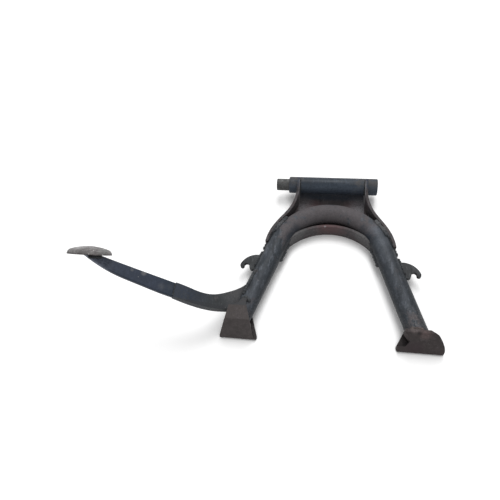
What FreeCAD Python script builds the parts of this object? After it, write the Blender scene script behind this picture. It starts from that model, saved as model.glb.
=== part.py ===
"""Motorcycle centre stand, lying with its rear side up.

Origin: middle of the pivot axis. +X right along the pivot axis, +Y from the feet
to the pivot, +Z up. All lengths are in millimetres.
"""
import FreeCAD, Part
import math
import os

V = FreeCAD.Vector
os.makedirs("parts", exist_ok=True)

# Leg tube: one pipe bent to an arch, with straight legs that spread outwards
leg_od = 28.0
leg_wall = 2.0
leg_z = -5.8                 # height of the leg tube's centre line
arch_radius = 76.7
arch_top_y = -48.6
splay = math.radians(18.6)

# Pivot tube and the collar that turns inside it
pivot_od = 25.0
pivot_left = -65.3
pivot_right = 67.0
running_gap = 0.05           # radial clearance of the collar in the tube
collar_od = 18.0
collar_bore = 12.2
collar_left = -84.5
collar_length = 140.0

# Saddle bracket: pressed sheet under the arch, with cheeks for the pivot tube
sheet = 4.0
inner_flange_radius = 80.0
inner_flange_half = 0.7625 * inner_flange_radius
inner_flange_gap = 11.4      # from the arch tube to the inner flange, at the middle
inner_flange_top = -2.0
cheek_inner = 48.6           # inner face of the cheeks at the pivot tube
cheek_top = 14.4
cheek_back_y = 3.5

# Feet: folded sheet, with a sole that leans back
foot_sheet = 4.0
fold_y = -233.0
sole_drop = 16.3             # how far the sole runs forwards over its height
floor_wall = 19.5            # how far the wall on the floor reaches back from the fold

# Spring hooks: flat plates on the outer side of the legs
hook_thickness = 5.0
hook_reach = 27.4            # from the leg's centre line to the notch
hook_notch_y = -144.2
hook_notch_radius = 3.6
hook_finger = 5.7            # width of the metal outside the notch

# Lever: flat bar inside a folded gusset, rising to the left, with a domed pad
lever_angle = math.radians(30.0)
lever_y = -200.0
lever_z = -4.0
bar_thickness = 6.0
gusset_sheet = 2.0
gusset_end = 97.0            # where the gusset ends, along the bar
pad_half_length = 28.6
pad_half_width = 19.5
pad_rise = 8.0
pad_rim_radius = 7.0
pad_sheet = 2.5
pad_tilt = math.radians(31.0)
pad_along = 209.8            # middle of the pad, along the bar

leg_r = leg_od / 2.0
pivot_r = pivot_od / 2.0
arch_y = arch_top_y - arch_radius
bed = 0.5                    # how deep the leg tube lies in the bracket and the feet
floor_top = leg_z - leg_r + bed
floor_z = floor_top - sheet
foot_top = leg_z + leg_r - bed + foot_sheet
inner_flange_y = arch_top_y - leg_r - inner_flange_gap


def leg_axis_x(y):
    """Distance of the straight leg's centre line from the middle plane, at a given Y."""
    bend_x = arch_radius * math.cos(splay)
    bend_y = arch_y + arch_radius * math.sin(splay)
    return bend_x + (bend_y - y) * math.tan(splay)


lever_start = V(-leg_axis_x(lever_y) - 5.9, lever_y, lever_z)


def face_of(edges):
    return Part.Face(Part.Wire(Part.__sortEdges__(edges)))


def line(a, b):
    return Part.LineSegment(a, b).toShape()


def arc(a, b, c):
    return Part.Arc(a, b, c).toShape()


def spline(points):
    curve = Part.BSplineCurve()
    curve.interpolate(points)
    return curve.toShape()


def flat(points, z=0.0):
    return [V(x, y, z) for x, y in points]


def outline_face(runs, z=0.0):
    """Face inside runs of points: two points give a line, three an arc, more a curve."""
    edges = []
    for run in runs:
        pts = flat(run, z)
        if len(pts) == 2:
            edges.append(line(*pts))
        elif len(pts) == 3:
            edges.append(arc(*pts))
        else:
            edges.append(spline(pts))
    return face_of(edges)


def mirrored(shape):
    return shape.mirror(V(0, 0, 0), V(1, 0, 0))


def one_solid(shape):
    """The largest solid of a shape, so that a trimmed piece stays one piece."""
    return sorted(shape.Solids, key=lambda s: s.Volume)[-1]


def leg_path():
    end_y = -262.0
    ax = arch_radius * math.cos(splay)
    ay = arch_y + arch_radius * math.sin(splay)
    left_end = V(-leg_axis_x(end_y), end_y, leg_z)
    right_end = V(leg_axis_x(end_y), end_y, leg_z)
    left_bend = V(-ax, ay, leg_z)
    right_bend = V(ax, ay, leg_z)
    top = V(0, arch_top_y, leg_z)
    return Part.Wire([line(left_end, left_bend), arc(left_bend, top, right_bend),
                      line(right_bend, right_end)]), left_end


def leg_rod(radius):
    """Solid rod along the whole bent path of the legs."""
    path, start = leg_path()
    direction = V(math.sin(splay), math.cos(splay), 0)
    ring = Part.Wire(Part.Circle(start, direction, radius).toShape())
    return path.makePipeShell([ring], True, False)


def sole_cut(gap):
    """Block in front of a plane that lies at the given gap behind the soles' outer face."""
    height = foot_top - floor_z
    length = math.hypot(sole_drop, height)
    nx = V(0, -height / length, sole_drop / length)
    along = V(1, 0, 0)
    block = Part.makeBox(600, 200, 60)
    rotation = FreeCAD.Rotation(along, nx.cross(along), nx, "XZY")
    block.Placement = FreeCAD.Placement(V(0, 0, 0), rotation)
    middle = V(0, fold_y - sole_drop / 2.0, leg_z)
    centre = block.BoundBox.Center
    block.translate(middle + nx * (30.0 - gap) - centre)
    return block


def leg_tube():
    tube = leg_rod(leg_r).cut(leg_rod(leg_r - leg_wall))
    return one_solid(tube.cut(sole_cut(foot_sheet + 0.4)))


def ring_bar(radius, bore, x0, length, chamfer):
    outer = Part.makeCylinder(radius, length, V(x0, 0, 0), V(1, 0, 0))
    ends = [e for e in outer.Edges if e.Curve.TypeId == "Part::GeomCircle"]
    outer = outer.makeChamfer(chamfer, ends)
    return outer.cut(Part.makeCylinder(bore, length + 2, V(x0 - 1, 0, 0), V(1, 0, 0)))


def pivot_tube():
    bore = collar_od / 2.0 + running_gap
    return ring_bar(pivot_r, bore, pivot_left, pivot_right - pivot_left, 0.8)


def pivot_collar():
    return ring_bar(collar_od / 2.0, collar_bore / 2.0, collar_left, collar_length, 0.6)


def flange_points(outward):
    """Inner face of the right cheek and outer flange, moved outwards by a distance."""
    inner = [(cheek_inner, 8.0), (cheek_inner, -8.0), (cheek_inner + 0.8, -21.0),
             (cheek_inner + 4.4, -35.0)]
    # The flange closes in on the arch tube as it runs round it
    for angle, gap in ((51.1, 5.4), (40.6, 2.0), (30.0, 0.9), (20.8, 0.3), (12.3, -0.6)):
        at = math.radians(angle)
        reach = arch_radius + leg_r + gap
        inner.append((reach * math.cos(at), arch_y + reach * math.sin(at)))
    moved = []
    for i, (x, y) in enumerate(inner):
        before = inner[max(i - 1, 0)]
        after = inner[min(i + 1, len(inner) - 1)]
        dx = after[0] - before[0]
        dy = after[1] - before[1]
        size = math.hypot(dx, dy)
        moved.append((x - dy / size * outward, y + dx / size * outward))
    return moved


def bracket_prism(outward, z0, z1, inset):
    """The bracket's outline, between its outer flanges and its inner flange."""
    right = flange_points(outward)
    left = [(-x, y) for x, y in right]
    radius = inner_flange_radius + inset
    cy = inner_flange_y - inner_flange_radius
    half = inner_flange_half
    end_y = cy + math.sqrt(radius ** 2 - half ** 2)
    inner = arc(V(-half, end_y, 0), V(0, cy + radius, 0), V(half, end_y, 0))
    outline = [spline(flat(right)), spline(flat(left)), inner,
               line(V(*right[0], 0), V(*left[0], 0)),
               line(V(*right[-1], 0), V(half, end_y, 0)),
               line(V(*left[-1], 0), V(-half, end_y, 0))]
    prism = face_of(outline).extrude(V(0, 0, z1 - z0))
    prism.translate(V(0, 0, z0))
    return prism


def cheek_profile():
    """Everything above the upper edge of the cheeks and outer flanges."""
    edges = [arc(V(0, cheek_back_y, cheek_top), V(0, -6, cheek_top + 0.6), V(0, -17, 8.5)),
             spline([V(0, -17, 8.5), V(0, -32, 4.5), V(0, -60, 2.6), V(0, -108, 1.5)]),
             line(V(0, -108, 1.5), V(0, -140, 1.5)),
             line(V(0, -140, 1.5), V(0, -140, 40)),
             line(V(0, -140, 40), V(0, cheek_back_y, 40)),
             line(V(0, cheek_back_y, 40), V(0, cheek_back_y, cheek_top))]
    block = face_of(edges).extrude(V(240, 0, 0))
    block.translate(V(-120, 0, 0))
    return block


def saddle_bracket():
    body = bracket_prism(sheet, floor_z, 20, 0)
    hollow = bracket_prism(0, floor_top, 21, sheet)
    body = body.cut(hollow)
    # The base ends under the pivot tube, and the cheeks end just behind its axis
    body = body.cut(Part.makeBox(240, 40, 60, V(-120, cheek_back_y, floor_z - 1)))
    body = body.cut(cheek_profile())
    # The inner flange is lower than the cheeks
    trim = Part.makeCylinder(inner_flange_radius + sheet + 0.01, 60,
                             V(0, inner_flange_y - inner_flange_radius, inner_flange_top))
    body = body.cut(trim.common(Part.makeBox(118, 60, 60, V(-59, -130, -10))))
    # Half-round seats for the pivot tube, open towards the back
    seat = Part.makeCylinder(pivot_r, 240, V(-120, 0, 0), V(1, 0, 0))
    body = body.cut(seat)
    body = body.cut(leg_rod(leg_r))
    return one_solid(body)


def sole_profile(y_rear_top, y_front_wall):
    """Side view of a foot: rear wall, leaning sole and the wall on the floor."""
    top = foot_top
    bottom = floor_z
    t = foot_sheet
    lean = math.atan2(sole_drop, top - bottom)
    shift_top = t * (1 / math.cos(lean) + math.tan(lean))
    shift_low = t * (1 / math.cos(lean) - math.tan(lean))
    low_y = fold_y - sole_drop
    outer = [V(0, y_rear_top, top), V(0, fold_y, top), V(0, low_y, bottom),
             V(0, y_front_wall, bottom), V(0, y_front_wall, bottom + t),
             V(0, low_y + shift_low, bottom + t), V(0, fold_y + shift_top, top - t),
             V(0, y_rear_top, top - t)]
    body = Part.Face(Part.makePolygon(outer + outer[:1])).extrude(V(90, 0, 0))
    folds = []
    for e in body.Edges:
        ends = [v.Point for v in e.Vertexes]
        if abs(ends[0].x - ends[1].x) < 80:
            continue
        at = ends[0]
        if (V(0, at.y, at.z) - outer[1]).Length < 0.01 or (V(0, at.y, at.z) - outer[2]).Length < 0.01:
            folds.append(e)
    return body.makeFillet(3.0, folds)


def foot_place(x, y):
    """A point given from the leg's centre line, at the upper fold of the sole."""
    return leg_axis_x(fold_y) + x, fold_y + y


def foot_outline(runs):
    return [[foot_place(x, y) for x, y in run] for run in runs]


def foot(rear_y, outline, cavity):
    """A right foot: the folded sheet, trimmed to the outline seen from the rear.

    The cavity is cut from its upper wall and sole, and leaves the wall on the floor.
    """
    body = sole_profile(rear_y, fold_y + floor_wall)
    body.translate(V(leg_axis_x(fold_y) - 45, 0, 0))
    body = body.common(outline_face(outline, -60).extrude(V(0, 0, 120)))
    body = body.cut(leg_rod(leg_r).cut(sole_cut(foot_sheet)))
    return one_solid(body.cut(outline_face(cavity, floor_top + 0.5).extrude(V(0, 0, 60))))


def right_foot():
    outline = foot_outline([[(-12.3, 20.0), (4.8, 20.0)], [(4.8, 20.0), (11.3, 5.0)],
                            [(11.3, 5.0), (20.3, -0.5), (28.3, -7.0), (31.4, -12.0), (29.8, -15.5)],
                            [(29.8, -15.5), (28.3, -19.0)], [(28.3, -19.0), (-18.2, -19.0)],
                            [(-18.2, -19.0), (-25.2, -15.0), (-26.9, -8.4)], [(-26.9, -8.4), (-12.3, 20.0)]])
    cavity = foot_outline([[(-37, 7.0), (-19.2, 7.0)], [(-19.2, 7.0), (-20.7, 1.0)],
                           [(-20.7, 1.0), (-11.9, -5.9)], [(-11.9, -5.9), (-16.9, -10.3)],
                           [(-16.9, -10.3), (-37, -10.6)], [(-37, -10.6), (-37, 7.0)]])
    return foot(fold_y + 5.0, outline, cavity)


def left_foot_outline():
    return foot_outline([[(-12.2, 30.0), (-9.7, 31.6), (-5.7, 30.8), (-2.2, 27.0), (1.3, 23.0), (5.3, 21.4),
                          (11.8, 20.5)],
                         [(11.8, 20.5), (14.3, 0.5)], [(14.3, 0.5), (22.6, -12.0)],
                         [(22.6, -12.0), (23.4, -14.8), (21.3, -17.5)], [(21.3, -17.5), (-22.2, -17.5)],
                         [(-22.2, -17.5), (-25.6, -14.6), (-26.7, -9.6)], [(-26.7, -9.6), (-16.7, 20.0)],
                         [(-16.7, 20.0), (-12.2, 30.0)]])


def left_foot():
    cavity = foot_outline([[(-37, 30.0), (-12.2, 30.0)],
                           [(-12.2, 30.0), (-11.9, 20.9), (-14.0, 15.3), (-16.2, 8.4), (-19.6, -1.0)],
                           [(-19.6, -1.0), (-20.4, -7.0), (-23.1, -13.5)],
                           [(-23.1, -13.5), (-37, -13.5)], [(-37, -13.5), (-37, 30.0)]])
    return mirrored(foot(fold_y + 33.0, left_foot_outline(), cavity))


def right_hook():
    ny = hook_notch_y
    nr = hook_notch_radius
    nx = leg_axis_x(ny) + hook_reach
    far = nx + nr + hook_finger
    near = nx - nr
    edges = [line(V(nx - 30.7, ny + 20.2, 0), V(nx - 15.7, ny + 18.0, 0)),
             arc(V(nx - 15.7, ny + 18.0, 0), V(nx + 1.5, ny + 12.4, 0), V(far, ny + 1.6, 0)),
             line(V(far, ny + 1.6, 0), V(far, ny - 0.5, 0)),
             arc(V(far, ny - 0.5, 0), V(far - hook_finger / 2, ny - 0.5 - hook_finger / 2, 0),
                 V(nx + nr, ny - 0.5, 0)),
             line(V(nx + nr, ny - 0.5, 0), V(nx + nr, ny, 0)),
             arc(V(nx + nr, ny, 0), V(nx, ny + nr, 0), V(near, ny, 0)),
             line(V(near, ny, 0), V(near - 0.6, ny - 3.4, 0)),
             arc(V(near - 0.6, ny - 3.4, 0), V(near - 2.9, ny - 6.1, 0), V(near - 6.2, ny - 5.8, 0)),
             line(V(near - 6.2, ny - 5.8, 0), V(nx - 24.7, ny - 12.8, 0)),
             line(V(nx - 24.7, ny - 12.8, 0), V(nx - 30.7, ny + 20.2, 0))]
    plate = face_of(edges).extrude(V(0, 0, hook_thickness))
    plate.translate(V(0, 0, leg_z - hook_thickness / 2))
    return one_solid(plate.cut(leg_rod(leg_r)))


def lever_placement():
    """The lever's own frame: x along the arm, y to the feet, z out of its face."""
    ex = V(-math.cos(lever_angle), 0, math.sin(lever_angle))
    ey = V(0, -1, 0)
    ez = V(math.sin(lever_angle), 0, math.cos(lever_angle))
    return FreeCAD.Placement(lever_start, FreeCAD.Rotation(ex, ey, ez, "ZXY"))


def to_lever(shape):
    shape.Placement = lever_placement()
    return shape


def pad_frame(shape):
    """From the pad's own frame: x to the left, z out of the dome."""
    normal = V(0, math.cos(pad_tilt), math.sin(pad_tilt))
    ex = V(-1, 0, 0)
    centre = lever_placement().multVec(V(pad_along, -2.8, -1.0))
    shape.Placement = FreeCAD.Placement(centre, FreeCAD.Rotation(ex, normal.cross(ex), normal, "ZXY"))
    return shape


def dome(inset):
    """Solid oval cap over the plane z = 0: a flat crown that turns down into a round rim."""
    half = pad_half_length - inset
    rise = pad_rise + pad_sheet - inset
    rim = pad_rim_radius - inset
    crown = ((half - rim) ** 2 + rise ** 2 - rim ** 2) / (2 * (rise - rim))
    turn = math.asin((half - rim) / (crown - rim))

    def on_crown(angle):
        return V(crown * math.sin(angle), 0, rise - crown + crown * math.cos(angle))

    def on_rim(angle):
        return V(half - rim + rim * math.sin(angle), 0, rim * math.cos(angle))

    edges = [arc(on_crown(0), on_crown(turn / 2), on_crown(turn)),
             arc(on_crown(turn), on_rim((turn + math.pi / 2) / 2), V(half, 0, 0)),
             line(V(half, 0, 0), V(0, 0, 0)),
             line(V(0, 0, 0), V(0, 0, rise))]
    cap = face_of(edges).revolve(V(0, 0, 0), V(0, 0, 1), 360)
    squeeze = FreeCAD.Matrix()
    squeeze.scale(V(1, (pad_half_width - inset) / half, 1))
    return cap.transformGeometry(squeeze)


def foot_pad():
    return pad_frame(one_solid(dome(0).cut(dome(pad_sheet))))


def under_pad():
    """The space over the pad's rim plane, without the hollow under its dome."""
    block = Part.makeBox(120, 120, 40, V(-60, -60, 0))
    return pad_frame(block.cut(dome(pad_sheet)))


def bar_upper():
    return [(45.0, 7.4), (94.0, 3.4), (143.0, -0.1), (190.0, -3.9), (222.0, -7.0)]


def bar_lower():
    return [(45.0, 21.0), (72.0, 22.2), (97.0, 22.6), (143.0, 18.0), (179.0, 12.6), (203.0, 5.0),
            (222.0, -3.4)]


def lever_arm():
    upper = bar_upper()
    lower = bar_lower()
    edges = [spline(flat(upper)), spline(flat(lower)),
             line(V(*upper[0], 0), V(*lower[0], 0)),
             line(V(*upper[-1], 0), V(*lower[-1], 0))]
    bar = face_of(edges).extrude(V(0, 0, bar_thickness))
    bar.translate(V(0, 0, -bar_thickness / 2))
    rims = []
    for e in bar.Edges:
        if e.Length > 100 and abs(e.Vertexes[0].Z - e.Vertexes[-1].Z) < 0.1:
            rims.append(e)
    bar = bar.makeFillet(1.2, rims)
    return one_solid(to_lever(bar).cut(under_pad()))


def gusset_outline(inset):
    """Upper and lower edge of the gusset, from its end on the bar to the leg tube."""
    upper = [(gusset_end, 2.6), (80.0, 4.8), (62.0, 6.8), (46.0, 5.0), (27.0, -3.7),
             (8.0, -17.0), (-4.0, -30.5), (-14.0, -46.0)]
    lower = [(gusset_end, 22.8), (80.0, 24.4), (64.0, 25.0), (37.0, 22.8), (22.0, 19.2), (-14.0, 9.0)]
    upper = [(x, y + inset) for x, y in upper]
    lower = [(x, y - inset) for x, y in lower]
    return upper, lower


def gusset_prism(inset, z0, z1, extra):
    upper, lower = gusset_outline(inset)
    upper[0] = (upper[0][0] + extra, upper[0][1])
    lower[0] = (lower[0][0] + extra, lower[0][1])
    edges = [spline(flat(upper, z0)), spline(flat(lower, z0)),
             line(V(*upper[0], z0), V(*lower[0], z0)),
             line(V(*upper[-1], z0), V(*lower[-1], z0))]
    return face_of(edges).extrude(V(0, 0, z1 - z0))


def lever_gusset():
    face = bar_thickness / 2.0
    shell = gusset_prism(0, -19, face + gusset_sheet, 0)
    shell = shell.cut(gusset_prism(gusset_sheet, -20, face, 2))
    # The side walls get deeper towards the leg
    below = Part.Face(Part.makePolygon([V(110, 0, -3.2), V(-30, 0, -11), V(-30, 0, -40), V(110, 0, -40),
                                        V(110, 0, -3.2)])).extrude(V(0, 120, 0))
    below.translate(V(0, -60, 0))
    # The face plate thins out towards its end on the bar
    thin = face + 0.6
    above = Part.Face(Part.makePolygon([V(80, 0, face + gusset_sheet), V(gusset_end, 0, thin),
                                        V(gusset_end + 10, 0, thin), V(gusset_end + 10, 0, 20),
                                        V(80, 0, 20), V(80, 0, face + gusset_sheet)]))
    above = above.extrude(V(0, 120, 0))
    above.translate(V(0, -60, 0))
    shell = to_lever(one_solid(shell.cut(below).cut(above)))
    shell = shell.cut(leg_rod(leg_r))
    shell = shell.cut(lever_arm())
    # It ends against the outline of the left foot
    foot_area = mirrored(outline_face(left_foot_outline(), -60).extrude(V(0, 0, 120)))
    return one_solid(shell.cut(foot_area))


def drops(points, radius):
    """The parts of a weld run: drops of uneven size along a path, on a slightly thinner core."""
    path = Part.makePolygon([V(*p) for p in points])
    count = max(3, round(path.Length / (1.5 * radius)) + 1)
    spots = path.discretize(Number=count)
    radii = [radius * (1.0 + 0.12 * math.sin(2.3 * i)) for i in range(count)]
    lean = V(0.31, 0.52, 0.8)
    parts = [Part.makeSphere(r, p, lean) for p, r in zip(spots, radii)]
    for a, b, ra, rb in zip(spots, spots[1:], radii, radii[1:]):
        parts.append(Part.makeCylinder(0.86 * min(ra, rb), (b - a).Length, a, b - a))
    return parts


def bead(points, radius, others=()):
    """A lumpy weld run, fused with the drops of others that lie beside it."""
    parts = drops(points, radius) + list(others)
    return parts[0].multiFuse(parts[1:])


def around_leg(side, places, around, height):
    """Points round the leg tube, at a height over its surface.

    A place over 0 is an angle on the arch in degrees, and one under 0 is a Y on the
    straight leg. Around is 0 on the tube's outer side and 90 on top.
    """
    turn = math.radians(around)
    out = (leg_r + height) * math.cos(turn)
    up = (leg_r + height) * math.sin(turn)
    result = []
    for place in places:
        if place > 0:
            at = math.radians(place)
            x = (arch_radius + out) * math.cos(at)
            y = arch_y + (arch_radius + out) * math.sin(at)
        else:
            x = leg_axis_x(place) + out * math.cos(splay)
            y = place + out * math.sin(splay)
        result.append((side * x, y, leg_z + up))
    return result


PIECES = {}


def add(name, shape):
    PIECES[name] = shape
    print(name, round(shape.Volume / 1000.0, 2), "cm3", shape.isValid(), len(shape.Solids))


def weld(name, shape, joined, fillers=()):
    """A weld run cut exactly to the pieces that it joins and to the hollows behind them."""
    for filler in fillers:
        shape = shape.cut(filler)
    for other in joined:
        shape = shape.cut(PIECES[other])
    add(name, one_solid(shape))


def flange_welds(rod):
    """Runs along the flanges and down the leg, with a second pass on the arch's shoulder."""
    shoulder = around_leg(1, [43, 30], 37, 0.7)
    outer = around_leg(1, [26], 27, 0.6) + around_leg(1, [22, -104, -107], 16, 0.6)
    end = around_leg(1, [-110, -119], 11, -0.8)
    second = around_leg(1, [42.3, 34.5, 26], 46, 0.2)
    run = bead(shoulder + outer + end, 3.3, drops(second, 2.6))
    weld("right_outer_flange_weld", run, ["saddle_bracket"], [rod])
    inner = around_leg(1, [20, -104, -124], 198, 0.0)
    weld("right_inner_flange_weld", bead(inner, 3.1), ["saddle_bracket"], [rod])


def pivot_weld():
    """Run on the inner side of the right cheek, along the feet side of the pivot tube."""
    points = []
    for turn in range(80, 191, 11):
        at = math.radians(turn)
        points.append((cheek_inner, pivot_r * math.cos(at), pivot_r * math.sin(at)))
    core = Part.makeCylinder(pivot_r, 240, V(-120, 0, 0), V(1, 0, 0))
    weld("right_pivot_weld", bead(points, 1.7), ["saddle_bracket"], [core])


def hook_weld(rod):
    points = around_leg(1, [-128, -148], 17, 0.2)
    weld("right_hook_weld", bead(points, 2.2), ["right_spring_hook"], [rod])


def foot_welds(rod):
    """Runs between the legs and the upper edges of the feet."""
    left = []
    for x, y, up in ((-14.2, 29.8, 13.3), (-9.4, 33.6, 13.9), (-5.4, 32.6, 12.9)):
        px, py = foot_place(x, y)
        left.append((-px, py, leg_z + up))
    weld("left_foot_weld", bead(left, 2.8), ["left_foot", "lever_gusset"], [rod])
    right = []
    for x, y, up in ((-10.2, 6.0, 12.2), (-5.2, 6.1, 14.1), (0.0, 6.0, 14.0)):
        right.append((*foot_place(x, y), leg_z + up))
    weld("right_foot_weld", bead(right, 3.2), ["right_foot"], [rod])


def lever_welds(rod):
    """Runs from the gusset to the leg and the bar, and from the bar to the pad."""
    face = bar_thickness / 2.0
    to_leg = around_leg(-1, [-160, -195], 58, 0.2)
    weld("gusset_leg_weld", bead(to_leg, 2.4), ["lever_gusset", "left_foot_weld"], [rod])
    across = [(gusset_end + 0.6, 5.4, face), (gusset_end + 0.6, 20.4, face)]
    weld("gusset_bar_weld", to_lever(bead(across, 1.3)), ["lever_gusset", "lever_arm"])
    under = [(196.0, -1.6, face), (208.0, 2.0, face)]
    weld("pad_weld", to_lever(bead(under, 2.4)), ["lever_arm", "foot_pad"], [under_pad()])


rod = leg_rod(leg_r)
add("leg_tube", leg_tube())
add("pivot_tube", pivot_tube())
add("pivot_collar", pivot_collar())
add("saddle_bracket", saddle_bracket())
add("left_foot", left_foot())
add("right_foot", right_foot())
add("right_spring_hook", right_hook())
add("lever_arm", lever_arm())
add("lever_gusset", lever_gusset())
add("foot_pad", foot_pad())

flange_welds(rod)
pivot_weld()
hook_weld(rod)
for twin in ("spring_hook", "outer_flange_weld", "inner_flange_weld", "pivot_weld", "hook_weld"):
    add("left_" + twin, mirrored(PIECES["right_" + twin]))
foot_welds(rod)
lever_welds(rod)

for name, shape in PIECES.items():
    shape.exportStep("parts/" + name + ".step")
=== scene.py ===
"""Looks of a used motorcycle centre stand: blue-black paint, brown rust and rubbed steel."""

import bpy
from mathutils import Matrix, Vector


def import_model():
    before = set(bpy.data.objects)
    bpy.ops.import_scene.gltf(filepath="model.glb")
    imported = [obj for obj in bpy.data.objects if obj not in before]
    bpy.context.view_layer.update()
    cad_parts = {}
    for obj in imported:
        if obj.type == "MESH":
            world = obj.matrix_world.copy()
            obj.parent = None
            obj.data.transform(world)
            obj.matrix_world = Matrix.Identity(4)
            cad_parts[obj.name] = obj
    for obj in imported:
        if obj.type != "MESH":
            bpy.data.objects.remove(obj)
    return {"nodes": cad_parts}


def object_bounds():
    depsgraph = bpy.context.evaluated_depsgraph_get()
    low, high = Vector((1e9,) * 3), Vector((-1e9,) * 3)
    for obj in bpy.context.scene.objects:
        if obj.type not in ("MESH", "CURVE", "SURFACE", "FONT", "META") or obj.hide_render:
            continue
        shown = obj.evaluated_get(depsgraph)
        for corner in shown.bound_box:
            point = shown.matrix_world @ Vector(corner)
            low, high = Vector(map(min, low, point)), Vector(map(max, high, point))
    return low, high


MM = 0.001

# Camera of the photograph, as fitted to the stand's own pieces
IMAGE_PX = 500.0
FOCAL_PX = 465.0
SENSOR_MM = 36.0
CAMERA_PLACE = Vector((-7.5, -452.8, 574.7)) * MM
CAMERA_RIGHT = Vector((0.9863, 0.1238, -0.1090))
CAMERA_UP = Vector((-0.0520, 0.8607, 0.5065))
CLIP_NEAR = 0.01
CLIP_FAR = 50.0

# Light: a large lamp above and behind the stand, and an even white room
LAMP_PLACE = Vector((0.05, 0.85, 1.35))
LAMP_AIM = Vector((-0.05, -0.1, 0.0))
LAMP_SIDE = 0.75
LAMP_WATTS = 15.5
ROOM_STRENGTH = 0.62

# Floor: its white with a faint cloud in it, and the extra light that the camera sees away
# from the stand, which starts where the surroundings are open enough
FLOOR_RADIUS = 12.0
FLOOR_SIDES = 64
FLOOR_WHITE = 0.93
FLOOR_CLOUD = 0.01
FLOOR_CLOUD_MM = 900
FLOOR_ROUGHNESS = 0.9
FLOOR_SPECULAR = 0.1
FLOOR_LIFT = 0.3
FLOOR_REACH_MM = 22
FLOOR_SHADED = 0.50
FLOOR_OPEN = 0.78
FLOOR_SAMPLES = 12

# Weld runs: how finely their drops are melted together, and how uneven they get
WELD_VOXEL = 0.35 * MM
WELD_SMOOTHING = 6
WELD_LUMPS = 2.5 * MM
WELD_UNEVEN = 0.5 * MM

# Edges and corners that the materials find on a piece
EDGE_RADIUS = 0.7 * MM
EDGE_SAMPLES = 4
EDGE_SHARP = 0.80
EDGE_FLAT = 0.985
HOLLOW_SAMPLES = 6
HOLLOW_DEEP = 0.25
HOLLOW_OPEN = 0.85
CORNER_REACH_MM = 9
# Reach of the painted shade inside the feet
INSIDE_SHADE_REACH_MM = 26

# Places of the colour sockets in a Mix node
MIX_FIRST = 6
MIX_SECOND = 7
MIX_RESULT = 2

# Old paint: sizes of its patterns, how two of them are drawn out along the legs, how
# strongly each layer covers the paint, and what film and rust add to the roughness
TONE_MM = 38
STREAK_MM = 9
STREAK_STRETCH = (1.0, 0.16, 1.0)
FADE_MM = 5
FADE_STRETCH = (1.0, 0.4, 1.0)
FILM_MM = 12
RUST_MM = 5.0
GRIT_MM = 2.6
CHIP_MM = 3.0
FILM_COVER = 0.85
RUST_COVER = 0.8
WEAR_COVER = 0.6
CHIP_COVER = 0.7
FILM_ROUGHNESS = 0.16
RUST_ROUGHNESS = 0.22
PAINT_SPECULAR = 0.2
PAINT_BUMP_MM = 0.3

# Rubbed steel: the same for its tones, stains, bruises and pits
STEEL_TONE_MM = 11
STAIN_MM = 6
BRUISE_MM = 2.6
PIT_MM = 1.7
STAIN_COVER = 0.7
BRUISE_COVER = 0.8
STEEL_METALLIC = 0.2
STEEL_SPECULAR = 0.3
STEEL_BUMP_MM = 0.25

# Directions of the frame that some marks follow
RIGHT_LEG_OUTWARD = (0.948, 0.319, 0.0)
GUSSET_FRONT = (0.112, -0.994, 0.0)
PAD_FRONT = (0, -0.857, -0.515)

# Paint: main tones and faded tones
BLUE_BLACK = (0.034, 0.041, 0.050)
BLUE_FADED = (0.072, 0.080, 0.094)
TUBE_BLUE = (0.019, 0.027, 0.039)
TUBE_FADED = (0.036, 0.046, 0.061)
LEVER_BLUE = (0.021, 0.030, 0.050)
LEVER_FADED = (0.031, 0.040, 0.062)
GREY_BLACK = (0.030, 0.033, 0.036)
GREY_FADED = (0.052, 0.055, 0.058)
GUSSET_FADED = (0.056, 0.061, 0.067)
BRACKET_DARK = (0.050, 0.046, 0.049)
BRACKET_FADED = (0.078, 0.072, 0.076)
LEFT_FOOT_BROWN = (0.062, 0.053, 0.052)
LEFT_FOOT_FADED = (0.080, 0.070, 0.069)
RIGHT_FOOT_BROWN = (0.042, 0.034, 0.034)
RIGHT_FOOT_FADED = (0.056, 0.046, 0.046)
WELD_BLACK = (0.030, 0.034, 0.040)
FOOT_WELD_BROWN = (0.075, 0.060, 0.056)
FOOT_WELD_FADED = (0.115, 0.096, 0.090)

# Dirt film and rust that lie on the paint
BROWN_FILM = (0.110, 0.097, 0.101)
TUBE_FILM = (0.078, 0.076, 0.077)
BRACKET_FILM = (0.092, 0.076, 0.078)
LEVER_FILM = (0.070, 0.072, 0.080)
WELD_FILM = (0.075, 0.072, 0.074)
FOOT_WELD_FILM = (0.150, 0.118, 0.108)
RUST = (0.090, 0.054, 0.050)

# Rubbed steel: bright, dull and stained
COLLAR_BRIGHT = (0.078, 0.080, 0.080)
COLLAR_DULL = (0.045, 0.046, 0.046)
COLLAR_STAIN = (0.052, 0.044, 0.040)
PAD_BRIGHT = (0.20, 0.19, 0.19)
PAD_DULL = (0.11, 0.103, 0.102)
PAD_STAIN = (0.070, 0.058, 0.055)

# Marks and chips. Some of them are painted shade or painted light, as said at each.
# Painted shade for the lower flanks of the legs and the right leg's outer side
FLANK_PAINTED_SHADE = (0.014, 0.018, 0.023)
# Painted highlights for the right leg's bend and upper leg
BEND_PAINTED_HIGHLIGHT = (0.115, 0.130, 0.155)
LEG_PAINTED_HIGHLIGHT = (0.105, 0.118, 0.140)
DIRT_SPECKS = (0.17, 0.155, 0.15)
# Painted light for the lower front side of the pivot tube
TUBE_PAINTED_LIGHT = (0.062, 0.080, 0.108)
# Painted shadow of the pivot tube on the bracket's web
POCKET_PAINTED_SHADOW = (0.030, 0.042, 0.062)
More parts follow.
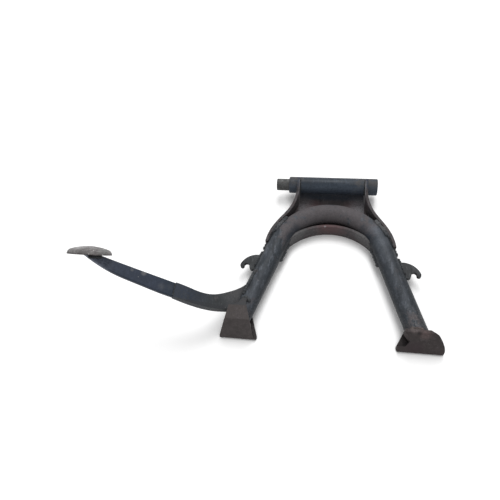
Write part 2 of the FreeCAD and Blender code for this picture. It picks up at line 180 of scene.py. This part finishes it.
# Painted light for the shaded inner faces of the bracket's cheeks
CHEEK_PAINTED_LIGHT = (0.230, 0.225, 0.238)
RED_BROWN = (0.115, 0.062, 0.064)
RIM_GREY = (0.115, 0.114, 0.116)
BARE_NICK = (0.30, 0.30, 0.31)
PALE = (0.15, 0.15, 0.155)
CHIP_GREY = (0.24, 0.235, 0.23)
# Painted light under the pad, over the pad's shadow on the lever
LEVER_TIP_PAINTED_LIGHT = (0.150, 0.168, 0.215)
LEVER_SHADE = (0.017, 0.027, 0.043)
GUSSET_BLUE = (0.023, 0.032, 0.050)
GUSSET_LIGHT = (0.084, 0.083, 0.086)
FOLD_DARK = (0.030, 0.032, 0.036)
# Painted shade for the hollows inside the feet
INSIDE_PAINTED_SHADE = (0.006, 0.005, 0.006)
FOOT_SLATE = (0.052, 0.055, 0.060)
FOOT_RUBBED = (0.150, 0.125, 0.122)
FOOT_BRUISE = (0.125, 0.090, 0.088)
FOOT_PIT = (0.016, 0.013, 0.014)
SOLE_BROWN = (0.046, 0.032, 0.036)
PAD_CHIP = (0.36, 0.35, 0.35)
PAD_SMOOTH = (0.17, 0.18, 0.175)
PAD_RIM = (0.045, 0.038, 0.036)


class Nodes:
    """Short calls that add and link nodes in one tree."""

    def __init__(self, tree):
        self.tree = tree

    def node(self, kind, **settings):
        made = self.tree.nodes.new(kind)
        for key, value in settings.items():
            setattr(made, key, value)
        return made

    def feed(self, socket, value):
        if isinstance(value, bpy.types.NodeSocket):
            self.tree.links.new(value, socket)
        else:
            socket.default_value = value

    def calc(self, operation, a, b, clamp=False):
        made = self.node("ShaderNodeMath", operation=operation, use_clamp=clamp)
        self.feed(made.inputs[0], a)
        self.feed(made.inputs[1], b)
        return made.outputs[0]

    def times(self, a, b):
        return self.calc("MULTIPLY", a, b)

    def plus(self, a, b, clamp=False):
        return self.calc("ADD", a, b, clamp)

    def shown(self):
        """1 for what the camera sees, also in a reflection or through glass, and 0 for light."""
        ray = self.node("ShaderNodeLightPath")
        seen = self.plus(ray.outputs["Is Camera Ray"], ray.outputs["Is Glossy Ray"])
        return self.plus(seen, ray.outputs["Is Transmission Ray"], clamp=True)


class Shade(Nodes):
    """One procedural material. Its masks are noise, places of the frame, edges and hollows."""

    def __init__(self, name):
        self.material = bpy.data.materials.new(name)
        self.material.use_nodes = True
        super().__init__(self.material.node_tree)
        self.shader = self.tree.nodes["Principled BSDF"]
        self.place = self.node("ShaderNodeTexCoord").outputs["Object"]

    def noise(self, size_mm, detail=4.0, rough=0.55, stretch=(1, 1, 1), shift=0.0):
        """Noise from 0 to 1 with features of about size_mm. The shift sets one apart from another."""
        mapping = self.node("ShaderNodeMapping")
        self.feed(mapping.inputs["Vector"], self.place)
        mapping.inputs["Location"].default_value = (shift, 0.7 * shift, 0.3 * shift)
        mapping.inputs["Scale"].default_value = stretch
        made = self.node("ShaderNodeTexNoise")
        self.feed(made.inputs["Vector"], mapping.outputs["Vector"])
        made.inputs["Scale"].default_value = 1.0 / (size_mm * MM)
        made.inputs["Detail"].default_value = detail
        made.inputs["Roughness"].default_value = rough
        return made.outputs["Fac"]

    def spread(self, value, low, high, to_low=0.0, to_high=1.0):
        """Smooth step of a value from low..high to to_low..to_high."""
        made = self.node("ShaderNodeMapRange", interpolation_type="SMOOTHSTEP")
        self.feed(made.inputs["Value"], value)
        made.inputs["From Min"].default_value = low
        made.inputs["From Max"].default_value = high
        made.inputs["To Min"].default_value = to_low
        made.inputs["To Max"].default_value = to_high
        return made.outputs["Result"]

    def blend(self, share, a, b):
        """Colour a where share is 0 and b where it is 1."""
        made = self.node("ShaderNodeMix", data_type="RGBA")
        self.feed(made.inputs["Factor"], share)
        for place, value in ((MIX_FIRST, a), (MIX_SECOND, b)):
            source = value if isinstance(value, bpy.types.NodeSocket) else (*value, 1.0)
            self.feed(made.inputs[place], source)
        return made.outputs[MIX_RESULT]

    def axis(self, name, low_mm, high_mm):
        """Mask that goes from 0 to 1 between two places along an axis of the frame."""
        parts = self.node("ShaderNodeSeparateXYZ")
        self.feed(parts.inputs[0], self.place)
        value = parts.outputs[name]
        if low_mm < high_mm:
            return self.spread(value, low_mm * MM, high_mm * MM)
        return self.spread(value, high_mm * MM, low_mm * MM, 1.0, 0.0)

    def along(self, direction, low_mm, high_mm):
        """Mask that goes from 0 to 1 between two distances along a direction."""
        made = self.node("ShaderNodeVectorMath", operation="DOT_PRODUCT")
        self.feed(made.inputs[0], self.place)
        made.inputs[1].default_value = Vector(direction).normalized()
        return self.spread(made.outputs["Value"], low_mm * MM, high_mm * MM)

    def near(self, point_mm, reach_mm, soft):
        """Mask that is 1 at a point of the frame and fades out over the soft share of its reach."""
        made = self.node("ShaderNodeVectorMath", operation="DISTANCE")
        self.feed(made.inputs[0], self.place)
        made.inputs[1].default_value = Vector(point_mm) * MM
        return self.spread(made.outputs["Value"], reach_mm * (1 - soft) * MM, reach_mm * MM, 1.0, 0.0)

    def rounded(self):
        made = self.node("ShaderNodeBevel", samples=EDGE_SAMPLES)
        made.inputs["Radius"].default_value = EDGE_RADIUS
        return made.outputs["Normal"]

    def edges(self):
        """Mask that is 1 on the edges of a piece."""
        facing = self.node("ShaderNodeVectorMath", operation="DOT_PRODUCT")
        self.feed(facing.inputs[0], self.rounded())
        self.feed(facing.inputs[1], self.node("ShaderNodeNewGeometry").outputs["Normal"])
        return self.spread(facing.outputs["Value"], EDGE_SHARP, EDGE_FLAT, 1.0, 0.0)

    def hollows(self, reach_mm):
        """Mask that is 1 deep in corners and 0 on open surfaces."""
        made = self.node("ShaderNodeAmbientOcclusion", samples=HOLLOW_SAMPLES)
        made.inputs["Distance"].default_value = reach_mm * MM
        return self.spread(made.outputs["AO"], HOLLOW_DEEP, HOLLOW_OPEN, 1.0, 0.0)

    def lay_marks(self, colour, marks, grain_mm, thinnest):
        """Lays each mark's colour over its region. A ragged noise thins it out to a share."""
        ragged = self.spread(self.noise(grain_mm, detail=5.0, rough=0.7, shift=15.0), 0.36, 0.55)
        for region, shade, amount in marks:
            share = self.spread(ragged, 0.0, 1.0, amount * thinnest, amount)
            colour = self.blend(self.times(region(self), share), colour, shade)
        return colour

    def close(self, colour, roughness, height, depth_mm):
        """Joins colour, roughness and bump to the shader."""
        self.feed(self.shader.inputs["Base Color"], colour)
        self.feed(self.shader.inputs["Roughness"], roughness)
        bump = self.node("ShaderNodeBump")
        bump.inputs["Distance"].default_value = depth_mm * MM
        bump.inputs["Strength"].default_value = 1.0
        self.feed(bump.inputs["Height"], height)
        self.feed(bump.inputs["Normal"], self.rounded())
        self.feed(self.shader.inputs["Normal"], bump.outputs["Normal"])
        return self.material


# Regions of a finish: each call gives a function that makes the mask in a Shade.
# Their places and reaches are millimetres in the frame.
def spot(point_mm, reach_mm, soft):
    return lambda s: s.near(point_mm, reach_mm, soft)


def side(name, low_mm, high_mm):
    return lambda s: s.axis(name, low_mm, high_mm)


def slope(direction, low_mm, high_mm):
    return lambda s: s.along(direction, low_mm, high_mm)


def hollow(reach_mm):
    return lambda s: s.hollows(reach_mm)


def both(first, second):
    return lambda s: s.times(first(s), second(s))


def tinted(colour, factor, lift=0.0):
    return [factor * part + lift for part in colour]


def coated(name, paint, faded, film, rust, film_level, rust_level, rough,
           zones=(), marks=(), mottle=0.7):
    """Old paint: tone changes, a film of dirt, rust spots, rubbed edges and filled corners.

    The levels are the noise above which film and rust start: lower gives more of them.
    Mottle is the strength of streaks and pale patches. Zones bring the film forward at a
    place, and marks lay a colour there; some marks are painted shade or painted light."""
    s = Shade(name)
    tone = s.noise(TONE_MM, detail=5.0, rough=0.6, shift=1.3)
    colour = s.blend(s.spread(tone, 0.35, 0.68), paint, faded)
    streaks = s.noise(STREAK_MM, detail=4.0, rough=0.65, stretch=STREAK_STRETCH, shift=2.1)
    colour = s.blend(s.spread(streaks, 0.45, 0.66, 0.0, mottle), colour, tinted(paint, 0.5))
    fade = s.noise(FADE_MM, detail=5.0, rough=0.68, stretch=FADE_STRETCH, shift=3.4)
    colour = s.blend(s.spread(fade, 0.50, 0.66, 0.0, mottle), colour, tinted(faded, 1.7))

    patches = s.noise(FILM_MM, detail=8.0, rough=0.64, shift=4.2)
    for region, share in zones:
        patches = s.plus(patches, s.times(region(s), share))
    patches = s.plus(patches, s.times(s.hollows(CORNER_REACH_MM), 0.16))
    film_mask = s.spread(patches, film_level - 0.06, film_level + 0.12)
    colour = s.blend(s.times(film_mask, FILM_COVER), colour, film)

    grit = s.noise(GRIT_MM, detail=4.0, rough=0.7, shift=7.7)
    spots = s.plus(s.noise(RUST_MM, detail=6.0, rough=0.68, shift=9.1), s.times(film_mask, 0.06))
    rust_mask = s.spread(spots, rust_level - 0.03, rust_level + 0.05)
    colour = s.blend(s.times(rust_mask, RUST_COVER), colour, rust)
    worn = s.times(s.edges(), s.spread(grit, 0.36, 0.60))
    colour = s.blend(s.times(worn, WEAR_COVER), colour, tinted(faded, 0.5, 0.07))
    colour = s.lay_marks(colour, marks, grain_mm=2.4, thinnest=0.45)
    chips = s.spread(s.noise(CHIP_MM, detail=2.0, rough=0.5, shift=12.4), 0.75, 0.78)
    colour = s.blend(s.times(chips, CHIP_COVER), colour, CHIP_GREY)
    colour = s.blend(s.spread(grit, 0.3, 0.75, 0.3, 0.0), colour, tinted(paint, 0.3))

    roughness = s.spread(tone, 0.3, 0.7, rough - 0.06, rough + 0.08)
    roughness = s.plus(roughness, s.times(film_mask, FILM_ROUGHNESS))
    roughness = s.plus(roughness, s.times(rust_mask, RUST_ROUGHNESS), clamp=True)
    height = s.plus(s.times(grit, 0.35), s.times(film_mask, 0.25))
    height = s.plus(height, s.times(s.times(rust_mask, grit), 0.9))
    s.shader.inputs["Specular IOR Level"].default_value = PAINT_SPECULAR
    return s.close(colour, roughness, height, PAINT_BUMP_MM)


def rubbed_steel(name, bright, dull, stained, marks=()):
    """Worn bare steel with brown stains, pits and pale bruises."""
    s = Shade(name)
    tone = s.noise(STEEL_TONE_MM, detail=6.0, rough=0.65, shift=3.0)
    colour = s.blend(s.spread(tone, 0.38, 0.64), dull, bright)
    stain = s.spread(s.noise(STAIN_MM, detail=7.0, rough=0.66, shift=5.5), 0.50, 0.64)
    colour = s.blend(s.times(stain, STAIN_COVER), colour, stained)
    colour = s.lay_marks(colour, marks, grain_mm=2.0, thinnest=0.3)
    bruises = s.spread(s.noise(BRUISE_MM, detail=4.0, rough=0.6, shift=8.8), 0.60, 0.68)
    colour = s.blend(s.times(bruises, BRUISE_COVER), colour, tinted(bright, 2.3))
    colour = s.blend(s.times(s.edges(), 0.5), colour, dull)
    pits = s.noise(PIT_MM, detail=4.0, rough=0.7, shift=11.0)
    roughness = s.spread(tone, 0.3, 0.7, 0.62, 0.48)
    s.shader.inputs["Metallic"].default_value = STEEL_METALLIC
    s.shader.inputs["Specular IOR Level"].default_value = STEEL_SPECULAR
    height = s.plus(s.times(pits, 0.6), s.times(stain, 0.4))
    return s.close(colour, roughness, height, STEEL_BUMP_MM)


def fine_specks(s):
    """Region of small ragged dots, wherever it is laid."""
    return s.spread(s.noise(3.0, detail=7.0, rough=0.85), 0.50, 0.62)


def leg_finish():
    """Brown over the arch, blue-black down the legs, specked with dirt at the feet. Painted shade
    darkens the lower flanks and the right leg's outer side, and painted highlights lie on the right
    leg's bend.
    """
    zones = [(spot((-4, -84, 0), 82, 0.35), 0.26),
             (spot((114, -224, 0), 34, 0.8), 0.18),
             (spot((-108, -215, 0), 26, 0.8), 0.12)]
    # The next two marks are painted shade: the legs' lower flanks and the right leg's outer side are
    # darkened
    marks = [(both(side("Z", 8, 0), side("Y", -70, -92)), FLANK_PAINTED_SHADE, 0.95),
             (slope(RIGHT_LEG_OUTWARD, 37, 43.5), FLANK_PAINTED_SHADE, 0.85),
             # Painted highlights on the right leg's bend and upper leg
             (spot((63, -82, 8), 16, 1.0), BEND_PAINTED_HIGHLIGHT, 0.8),
             (spot((71, -101, 8), 18, 1.0), LEG_PAINTED_HIGHLIGHT, 0.8),
             (both(spot((112, -220, 6), 34, 0.8), fine_specks), DIRT_SPECKS, 0.9),
             (spot((48, -76, 0), 10, 0.8), TUBE_BLUE, 0.6),
             (spot((56, -90, 0), 12, 0.8), TUBE_BLUE, 0.7),
             (spot((-50, -80, 0), 12, 0.8), TUBE_BLUE, 0.6),
             (spot((-57, -96, 0), 12, 0.8), TUBE_BLUE, 0.6)]
    return coated("leg_paint_and_painted_light", BLUE_BLACK, BLUE_FADED, BROWN_FILM, RUST, film_level=0.62,
                  rust_level=0.72, rough=0.5, zones=zones, marks=marks)


def tube_finish():
    """Bluish in the middle and dusty brown at both ends, with painted light on the lower front side.
    """
    zones = [(side("X", 22, 38), 0.22),
             (side("X", -38, -50), 0.18)]
    # Painted light on the lower front side of the tube
    marks = [(side("Y", -3, -12), TUBE_PAINTED_LIGHT, 0.9)]
    return coated("tube_paint_and_painted_light", TUBE_BLUE, TUBE_FADED, TUBE_FILM, RUST, film_level=0.64,
                  rust_level=0.74, rough=0.45, zones=zones, marks=marks, mottle=0.5)


def cheek_inside(hand):
    """The inner side of a cheek of the bracket, hand 1 for the right one and -1 for the left."""
    inward = side("X", hand * 50.2, hand * 49.2)
    return both(spot((hand * 46, -26, 2), 34, 0.4), inward)


def bracket_finish():
    """Rusty web and rim, painted shadow of the pivot tube on the web, painted light on the cheeks'
    inner faces and grey flange ends.
    """
    marks = [(spot((-27, -25, -19), 18, 0.8), RED_BROWN, 0.7),
             (spot((33, -24, -19), 18, 0.8), RED_BROWN, 0.7),
             # Painted shadow of the pivot tube on the web under it
             (side("Y", -16, -9), POCKET_PAINTED_SHADOW, 0.9),
             # Painted light on the shaded inner faces of both cheeks
             (cheek_inside(1), CHEEK_PAINTED_LIGHT, 1.0),
             (cheek_inside(-1), CHEEK_PAINTED_LIGHT, 0.6),
             (spot((0, -72, -2), 30, 0.8), RED_BROWN, 0.9),
             (spot((55, -94, -3), 30, 0.5), RIM_GREY, 0.9),
             (spot((-55, -94, -3), 30, 0.5), RIM_GREY, 0.9),
             (spot((-7.6, -73.5, -2), 2.2, 0.8), BARE_NICK, 0.8)]
    return coated("bracket_rust_painted_shadow_and_light", BRACKET_DARK, BRACKET_FADED, BRACKET_FILM, RUST, film_level=0.50,
                  rust_level=0.68, rough=0.6, marks=marks)


def lever_finish():
    """Blue with a few pale chips, lightest under the pad with painted light over the pad's shadow,
    and darkest before the gusset.
    """
    marks = [(spot((-231.6, -202.5, 69), 5, 0.7), PALE, 0.8),
             (spot((-209, -213.5, 56), 7, 0.8), PALE, 0.35),
             (spot((-200, -211, 50.5), 6, 0.8), PALE, 0.35),
             (spot((-245, -203, 76), 3, 0.8), PALE, 0.6),
             # Painted light under the pad, where the pad's shadow falls
             (side("X", -262, -280), LEVER_TIP_PAINTED_LIGHT, 1.0),
             (side("X", -222, -190), LEVER_SHADE, 0.9)]
    return coated("lever_paint_and_painted_light", LEVER_BLUE, LEVER_FADED, LEVER_FILM, RUST, film_level=0.70,
                  rust_level=0.76, rough=0.5, marks=marks, mottle=0.3)


def gusset_finish():
    """Blue-black at the bar, greyer and lighter towards the leg, with a dark lower fold."""
    marks = [(side("X", -145, -178), GUSSET_BLUE, 1.0),
             (spot((-121, -192, 8), 34, 0.9), GUSSET_LIGHT, 0.9),
             (slope(GUSSET_FRONT, 199.5, 201.5), FOLD_DARK, 0.9)]
    return coated("gusset_paint", GREY_BLACK, GUSSET_FADED, BROWN_FILM, RUST, film_level=0.66,
                  rust_level=0.74, rough=0.5, marks=marks, mottle=0.4)


def left_foot_finish():
    """Brown, with its upper end in slate as the leg's paint is, and painted shade inside."""
    # Painted shade in the hollows inside the foot
    marks = [(hollow(INSIDE_SHADE_REACH_MM), INSIDE_PAINTED_SHADE, 1.0),
             (side("Y", -214, -211), FOOT_SLATE, 1.0)]
    return coated("left_foot_rust_and_painted_shade", LEFT_FOOT_BROWN, LEFT_FOOT_FADED, BROWN_FILM, RUST,
                  film_level=0.62, rust_level=0.72, rough=0.65, marks=marks, mottle=0.3)


def right_foot_finish():
    """Darker brown, rubbed and bruised near the fold, and painted shade inside."""
    # Painted shade in the hollows inside the foot
    marks = [(hollow(INSIDE_SHADE_REACH_MM), INSIDE_PAINTED_SHADE, 1.0),
             (spot((110, -228, 12), 9, 0.7), FOOT_RUBBED, 0.9),
             (spot((121, -234, 10), 11, 0.8), FOOT_BRUISE, 0.9),
             (spot((114, -233, 11), 6, 1.0), FOOT_PIT, 0.9),
             (spot((112, -244, -12), 16, 0.8), SOLE_BROWN, 0.9)]
    return coated("right_foot_rust_and_painted_shade", RIGHT_FOOT_BROWN, RIGHT_FOOT_FADED, BROWN_FILM, RUST,
                  film_level=0.62, rust_level=0.70, rough=0.65, marks=marks, mottle=0.3)


def shoulder_weld_finish():
    """As the plain weld, with three pale places along the shoulders."""
    marks = [(spot((65, -68, 5), 9, 0.7), PALE, 0.5),
             (spot((72, -78, 5), 8, 0.7), PALE, 0.4),
             (spot((-70, -76, 5), 10, 0.7), PALE, 0.4)]
    return coated("shoulder_weld", WELD_BLACK, GREY_FADED, WELD_FILM, RUST, film_level=0.60,
                  rust_level=0.72, rough=0.55, marks=marks)


def pad_finish():
    """Bright rubbed crown with one large chip, and a brown front rim."""
    marks = [(spot((-303, -197, 108), 16, 0.7), PAD_CHIP, 0.8),
             (spot((-272, -197, 108), 10, 0.8), PAD_SMOOTH, 0.6),
             (slope(PAD_FRONT, 115.0, 117.5), PAD_RIM, 1.0)]
    return rubbed_steel("pad_steel", PAD_BRIGHT, PAD_DULL, PAD_STAIN, marks)


def make_materials():
    """The finish of each CAD node. Welds that aren't named here take the plain weld's."""
    hook = coated("hook_grey", GREY_BLACK, GREY_FADED, BROWN_FILM, RUST, film_level=0.66,
                  rust_level=0.74, rough=0.55)
    weld = coated("weld_scale", WELD_BLACK, GREY_FADED, WELD_FILM, RUST, film_level=0.58,
                  rust_level=0.70, rough=0.55)
    foot_weld = coated("foot_weld", FOOT_WELD_BROWN, FOOT_WELD_FADED, FOOT_WELD_FILM, RUST,
                       film_level=0.5, rust_level=0.66, rough=0.65)
    shoulder = shoulder_weld_finish()
    return {"leg_tube": leg_finish(),
            "pivot_tube": tube_finish(),
            "pivot_collar": rubbed_steel("collar_steel", COLLAR_BRIGHT, COLLAR_DULL, COLLAR_STAIN),
            "saddle_bracket": bracket_finish(),
            "left_foot": left_foot_finish(),
            "right_foot": right_foot_finish(),
            "left_spring_hook": hook,
            "right_spring_hook": hook,
            "lever_arm": lever_finish(),
            "lever_gusset": gusset_finish(),
            "foot_pad": pad_finish(),
            "left_outer_flange_weld": shoulder,
            "right_outer_flange_weld": shoulder,
            "right_foot_weld": foot_weld,
            "weld": weld}


def dress(nodes):
    finishes = make_materials()
    for name, piece in nodes.items():
        finish = finishes.get(name, finishes["weld"])
        piece.data.materials.clear()
        piece.data.materials.append(finish)


def soften_welds(nodes):
    """Melts the drops of the weld runs together and makes them uneven."""
    for name, piece in nodes.items():
        if name.endswith("_weld"):
            lumps = bpy.data.textures.new(name + "_lumps", "CLOUDS")
            lumps.noise_scale = WELD_LUMPS
            remesh = piece.modifiers.new("melt", "REMESH")
            remesh.mode = "VOXEL"
            remesh.voxel_size = WELD_VOXEL
            remesh.use_smooth_shade = True
            smooth = piece.modifiers.new("smooth", "SMOOTH")
            smooth.iterations = WELD_SMOOTHING
            uneven = piece.modifiers.new("uneven", "DISPLACE")
            uneven.texture = lumps
            uneven.texture_coords = "GLOBAL"
            uneven.strength = WELD_UNEVEN


def make_floor(lowest):
    """White floor, a little lighter to the camera. It keeps the soft shadows of the stand."""
    bpy.ops.mesh.primitive_circle_add(vertices=FLOOR_SIDES, radius=FLOOR_RADIUS, fill_type="NGON",
                                      location=(0, 0, lowest))
    floor = bpy.context.object
    floor.name = "floor"
    s = Shade("floor_white")
    cloud = s.noise(FLOOR_CLOUD_MM, detail=2.0)
    colour = s.blend(cloud, [FLOOR_WHITE - FLOOR_CLOUD] * 3, [FLOOR_WHITE] * 3)
    s.feed(s.shader.inputs["Base Color"], colour)
    s.shader.inputs["Roughness"].default_value = FLOOR_ROUGHNESS
    s.shader.inputs["Specular IOR Level"].default_value = FLOOR_SPECULAR
    shown = s.shown()
    openness = s.node("ShaderNodeAmbientOcclusion", samples=FLOOR_SAMPLES)
    openness.inputs["Distance"].default_value = FLOOR_REACH_MM * MM
    lift = s.spread(openness.outputs["AO"], FLOOR_SHADED, FLOOR_OPEN, 0.0, FLOOR_LIFT)
    s.shader.inputs["Emission Color"].default_value = (1, 1, 1, 1)
    s.feed(s.shader.inputs["Emission Strength"], s.times(shown, lift))
    floor.data.materials.append(s.material)


def make_room():
    """Even light from all round, plain white to the camera and in reflections."""
    room = bpy.data.worlds.new("white_room")
    room.use_nodes = True
    n = Nodes(room.node_tree)
    strength = n.node("ShaderNodeMapRange")
    n.feed(strength.inputs["Value"], n.shown())
    strength.inputs["To Min"].default_value = ROOM_STRENGTH
    strength.inputs["To Max"].default_value = 1.0
    background = n.tree.nodes["Background"]
    background.inputs["Color"].default_value = (1, 1, 1, 1)
    n.feed(background.inputs["Strength"], strength.outputs["Result"])
    bpy.context.scene.world = room


def make_lamp():
    lamp = bpy.data.lights.new("overhead", "AREA")
    lamp.shape = "SQUARE"
    lamp.size = LAMP_SIDE
    lamp.energy = LAMP_WATTS
    holder = bpy.data.objects.new("overhead", lamp)
    bpy.context.scene.collection.objects.link(holder)
    holder.location = LAMP_PLACE
    holder.rotation_euler = (LAMP_AIM - LAMP_PLACE).to_track_quat("-Z", "Y").to_euler()


def make_camera():
    camera = bpy.data.cameras.new("camera")
    camera.sensor_width = SENSOR_MM
    camera.lens = FOCAL_PX / IMAGE_PX * SENSOR_MM
    camera.clip_start = CLIP_NEAR
    camera.clip_end = CLIP_FAR
    holder = bpy.data.objects.new("camera", camera)
    bpy.context.scene.collection.objects.link(holder)
    right = CAMERA_RIGHT.normalized()
    back = right.cross(CAMERA_UP).normalized()
    up = back.cross(right)
    turn = Matrix((right, up, back)).transposed().to_4x4()
    holder.matrix_world = Matrix.Translation(CAMERA_PLACE) @ turn
    bpy.context.scene.camera = holder


def corners(box):
    return [list(corner) for corner in box]


def main():
    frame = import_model()
    cad_box = corners(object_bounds())
    bpy.context.scene.view_settings.view_transform = "Standard"
    nodes = frame["nodes"]
    dress(nodes)
    soften_welds(nodes)
    make_floor(cad_box[0][2])
    make_room()
    make_lamp()
    make_camera()


main()
